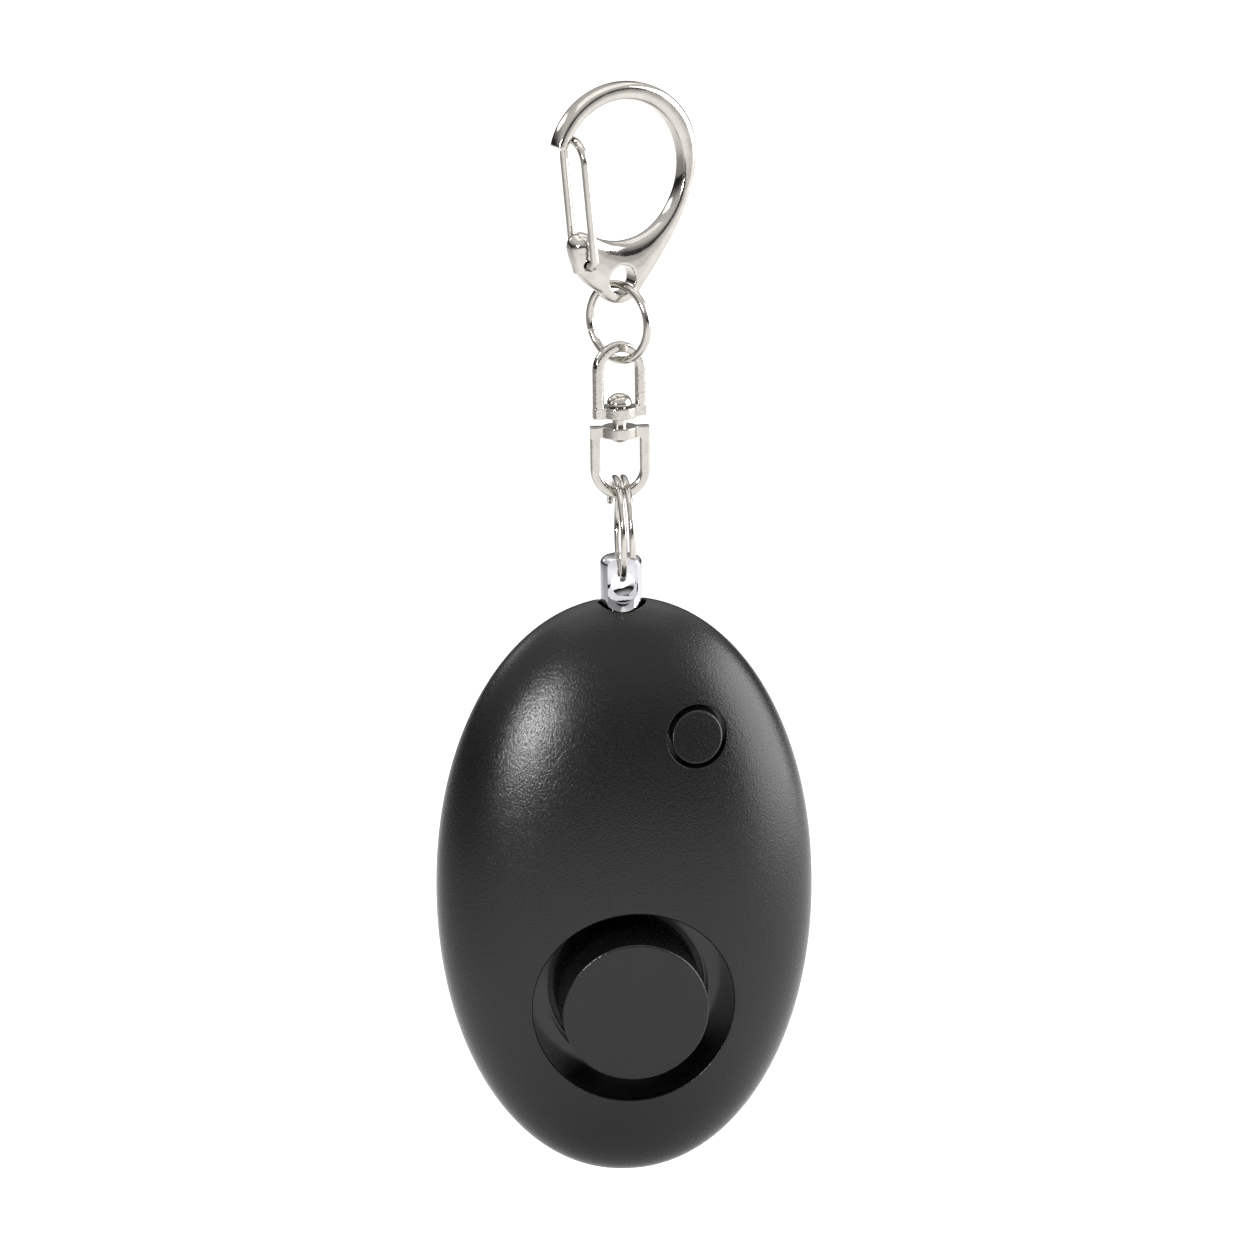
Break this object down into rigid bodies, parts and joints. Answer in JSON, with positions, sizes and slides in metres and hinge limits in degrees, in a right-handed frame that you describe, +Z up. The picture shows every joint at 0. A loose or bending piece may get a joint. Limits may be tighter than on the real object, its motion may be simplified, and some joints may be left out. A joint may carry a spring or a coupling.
{
  "type": "personal safety alarm",
  "caption": "Egg-shaped pocket alarm on a swivel chain with a D snap hook; pulling the chain draws a pin that sets off the sounder.",
  "frame": {"origin": "inside crown of the snap hook, the point it hangs from", "axes": "+Z up along the hanging chain, -Y out of the front of the case, +X to the right seen from the front"},
  "size_m": [0.042, 0.0231, 0.1232],
  "materials": {
    "nickel": "bright nickel plate on cast zinc and steel wire",
    "chrome": "mirror chrome plate on ABS",
    "black_abs": "black ABS, fine spark-eroded mould texture",
    "nylon": "natural nylon, moulded",
    "brass": "rolled brass strip",
    "steel": "plain steel",
    "board": "glass-epoxy laminate, green mask",
    "grey_plastic": "grey ABS, moulded",
    "chip": "black epoxy package",
    "ferrite": "ferrite core with enamelled wire",
    "ceramic": "silvered piezo ceramic",
    "lacquer": "black lacquer on brass",
    "clear": "clear acrylic"
  },
  "bodies": {
    "hook": {"snap_hook": "nickel"},
    "gate": {"gate_wire": "nickel"},
    "ring": {"link_ring": "nickel"},
    "upper_swivel": {"swivel_upper_bail": "nickel"},
    "lower_swivel": {"swivel_lower_bail": "nickel", "swivel_rivet": "nickel"},
    "split": {"split_ring": "nickel"},
    "pin": {"pin_head": "chrome", "pin_shank": "nylon"},
    "case": {"front_shell": "black_abs", "back_shell": "black_abs", "shell_screws": "steel", "tact_switch": "grey_plastic", "circuit_board": "board", "driver_chip": "chip", "boost_coil": "ferrite", "transistor": "chip", "sound_cap": "black_abs", "piezo_plate": "lacquer", "piezo_ceramic": "ceramic", "resonator_cup": "grey_plastic", "battery_cells": "steel", "battery_cradle": "grey_plastic", "battery_contact": "brass", "battery_spring": "steel", "light_window": "clear", "led": "clear"},
    "button": {"light_button": "black_abs", "switch_plunger": "grey_plastic"},
    "left_leaf": {"contact_leaf_left": "brass"},
    "right_leaf": {"contact_leaf_right": "brass"}
  },
  "joints": [
    {"name": "gate_swing", "type": "hinge", "parent": "hook", "child": "gate", "pos_m": [-0.0038, -0.00154, -0.0176], "axis": [-0.3746, 0.9272, 0], "range_deg": [0, 24], "stiffness_Nm_per_rad": 0.02, "springref_deg": -17.19},
    {"name": "ring_swing", "type": "hinge", "parent": "hook", "child": "ring", "pos_m": [0, 0, -0.0203], "axis": [0.6691, -0.7431, 0], "range_deg": [-40, 40]},
    {"name": "bail_swing", "type": "hinge", "parent": "ring", "child": "upper_swivel", "pos_m": [0, 0, -0.0287], "axis": [0.6691, -0.7431, 0], "range_deg": [-40, 40]},
    {"name": "swivel_turn", "type": "hinge", "parent": "upper_swivel", "child": "lower_swivel", "pos_m": [0, 0, -0.04362], "axis": [0, 0, 1], "continuous": true},
    {"name": "split_ring_swing", "type": "hinge", "parent": "lower_swivel", "child": "split", "pos_m": [0, 0, -0.04362], "axis": [1, 0, 0], "range_deg": [-40, 40]},
    {"name": "pin_swing", "type": "hinge", "parent": "split", "child": "pin", "pos_m": [0, 0, -0.05318], "axis": [0, 1, 0], "range_deg": [-45, 45]},
    {"name": "pin_pull", "type": "slide", "parent": "pin", "child": "case", "axis": [0, 0, -1], "range_m": [0, 0.02]},
    {"name": "button_press", "type": "slide", "parent": "case", "child": "button", "axis": [0, 1, 0], "range_m": [0, 0.0006], "stiffness_N_per_m": 500, "springref_m": -0.0004},
    {"name": "left_leaf_close", "type": "hinge", "parent": "case", "child": "left_leaf", "pos_m": [-0.00175, 0, -0.07301], "axis": [0, 1, 0], "range_deg": [0, 7.07]},
    {"name": "right_leaf_close", "type": "hinge", "parent": "case", "child": "right_leaf", "pos_m": [0.00175, 0, -0.07301], "axis": [0, -1, 0], "range_deg": [0, 7.07]}
  ],
  "couplings": [
    {"joint": "left_leaf_close", "follows": "pin_pull", "rad_per_m": 5.9926},
    {"joint": "right_leaf_close", "follows": "pin_pull", "rad_per_m": 5.9926}
  ]
}
